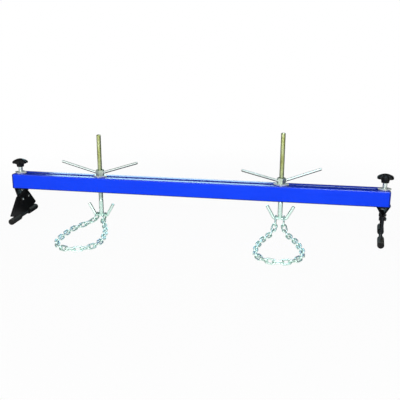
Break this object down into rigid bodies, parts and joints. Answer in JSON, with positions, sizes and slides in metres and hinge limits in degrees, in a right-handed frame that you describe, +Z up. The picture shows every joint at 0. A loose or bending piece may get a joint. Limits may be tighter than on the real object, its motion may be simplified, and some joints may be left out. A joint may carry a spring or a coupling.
{
  "type": "engine support bar",
  "caption": "Slotted box-rail bar on clamped rubber-shod feet, with sliding screw hooks and chains that hold an engine up from above.",
  "frame": {"origin": "middle of the slot, half way along the bar, level with the underside of the rails", "axes": "+X along the bar, +Y away from the side the chains lie on, +Z up"},
  "size_m": [1.5227, 0.5111, 0.3905],
  "materials": {
    "blue_paint": "glossy blue enamel",
    "yellow_zinc": "yellow passivated zinc on a cut thread",
    "bright_zinc": "bright zinc plate",
    "black_paint": "satin black enamel",
    "black_plastic": "moulded black plastic",
    "black_rubber": "dull black rubber",
    "dark_steel": "plain oiled steel",
    "brass": "turned brass"
  },
  "bodies": {
    "bar": {"front_rail": "blue_paint", "rear_rail": "blue_paint", "left_end_plate": "blue_paint", "right_end_plate": "blue_paint"},
    "left_hook_carriage": {"left_hook_washer": "bright_zinc"},
    "left_handle": {"left_handle_nut": "bright_zinc", "left_handle_arm_left": "bright_zinc", "left_handle_arm_right": "bright_zinc"},
    "left_hook": {"left_hook_screw": "yellow_zinc", "left_double_hook": "bright_zinc"},
    "left_chain": {"left_chain_end_link_left": "bright_zinc", "left_chain_links": "bright_zinc", "left_chain_end_link_right": "bright_zinc"},
    "left_foot_clamp": {"left_clamp_washer": "bright_zinc"},
    "left_foot": {"left_clamp_stud": "bright_zinc", "left_clamp_plate": "black_paint", "left_clamp_nut": "dark_steel", "left_foot_strap_left": "black_paint", "left_foot_strap_right": "black_paint", "left_foot_web": "black_paint", "left_foot_bolts": "dark_steel", "left_foot_bolt_nuts": "dark_steel", "left_crossbar": "black_paint", "left_front_boot": "black_rubber", "left_rear_boot": "black_rubber"},
    "left_sleeve": {"left_clamp_sleeve": "bright_zinc"},
    "left_knob": {"left_knob_insert": "brass", "left_star_knob": "black_plastic"},
    "right_hook_carriage": {"right_hook_washer": "bright_zinc"},
    "right_handle": {"right_handle_nut": "bright_zinc", "right_handle_arm_left": "bright_zinc", "right_handle_arm_right": "bright_zinc"},
    "right_hook": {"right_hook_screw": "yellow_zinc", "right_double_hook": "bright_zinc"},
    "right_chain": {"right_chain_end_link_left": "bright_zinc", "right_chain_links": "bright_zinc", "right_chain_end_link_right": "bright_zinc"},
    "right_foot_clamp": {"right_clamp_washer": "bright_zinc"},
    "right_foot": {"right_clamp_stud": "bright_zinc", "right_clamp_plate": "black_paint", "right_clamp_nut": "dark_steel", "right_foot_strap_left": "black_paint", "right_foot_strap_right": "black_paint", "right_foot_web": "black_paint", "right_foot_bolts": "dark_steel", "right_foot_bolt_nuts": "dark_steel", "right_crossbar": "black_paint", "right_front_boot": "black_rubber", "right_rear_boot": "black_rubber"},
    "right_sleeve": {"right_clamp_sleeve": "bright_zinc"},
    "right_knob": {"right_knob_insert": "brass", "right_star_knob": "black_plastic"}
  },
  "joints": [
    {"name": "left_hook_slide", "type": "slide", "parent": "bar", "child": "left_hook_carriage", "axis": [1, 0, 0], "range_m": [-0.04, 0.2]},
    {"name": "left_handle_spin", "type": "hinge", "parent": "left_hook_carriage", "child": "left_handle", "pos_m": [-0.382, 0, 0.065], "axis": [0, 0, 1], "range_deg": [-3600, 10800]},
    {"name": "left_hook_raise", "type": "slide", "parent": "left_hook_carriage", "child": "left_hook", "axis": [0, 0, 1], "range_m": [-0.12, 0.04]},
    {"name": "left_chain_swing", "type": "hinge", "parent": "left_hook", "child": "left_chain", "pos_m": [-0.382, 0, -0.1044], "axis": [1, 0, 0], "range_deg": [-35, 80]},
    {"name": "left_foot_slide", "type": "slide", "parent": "bar", "child": "left_foot_clamp", "axis": [1, 0, 0], "range_m": [-0.007, 0.1]},
    {"name": "left_foot_swivel", "type": "hinge", "parent": "left_foot_clamp", "child": "left_foot", "pos_m": [-0.73, 0, 0], "axis": [0, 0, 1], "range_deg": [-94, 86]},
    {"name": "left_sleeve_lift", "type": "slide", "parent": "left_foot_clamp", "child": "left_sleeve", "axis": [0, 0, 1], "range_m": [0, 0.0035]},
    {"name": "left_knob_spin", "type": "hinge", "parent": "left_sleeve", "child": "left_knob", "pos_m": [-0.73, 0, 0.086], "axis": [0, 0, 1], "range_deg": [0, 720]},
    {"name": "right_hook_slide", "type": "slide", "parent": "bar", "child": "right_hook_carriage", "axis": [1, 0, 0], "range_m": [-0.16, 0.08]},
    {"name": "right_handle_spin", "type": "hinge", "parent": "right_hook_carriage", "child": "right_handle", "pos_m": [0.3495, 0, 0.065], "axis": [0, 0, 1], "range_deg": [-1080, 13320]},
    {"name": "right_hook_raise", "type": "slide", "parent": "right_hook_carriage", "child": "right_hook", "axis": [0, 0, 1], "range_m": [-0.148, 0.012]},
    {"name": "right_chain_swing", "type": "hinge", "parent": "right_hook", "child": "right_chain", "pos_m": [0.3495, 0, -0.075], "axis": [1, 0, 0], "range_deg": [-35, 80]},
    {"name": "right_foot_slide", "type": "slide", "parent": "bar", "child": "right_foot_clamp", "axis": [1, 0, 0], "range_m": [-0.1, 0.006]},
    {"name": "right_foot_swivel", "type": "hinge", "parent": "right_foot_clamp", "child": "right_foot", "pos_m": [0.731, 0, 0], "axis": [0, 0, 1], "range_deg": [-84, 96]},
    {"name": "right_sleeve_lift", "type": "slide", "parent": "right_foot_clamp", "child": "right_sleeve", "axis": [0, 0, 1], "range_m": [0, 0.0035]},
    {"name": "right_knob_spin", "type": "hinge", "parent": "right_sleeve", "child": "right_knob", "pos_m": [0.731, 0, 0.086], "axis": [0, 0, 1], "range_deg": [0, 720]}
  ],
  "couplings": [
    {"joint": "left_hook_raise", "follows": "left_handle_spin", "m_per_rad": -0.0006366},
    {"joint": "left_sleeve_lift", "follows": "left_knob_spin", "m_per_rad": 0.0002785},
    {"joint": "right_hook_raise", "follows": "right_handle_spin", "m_per_rad": -0.0006366},
    {"joint": "right_sleeve_lift", "follows": "right_knob_spin", "m_per_rad": 0.0002785}
  ]
}
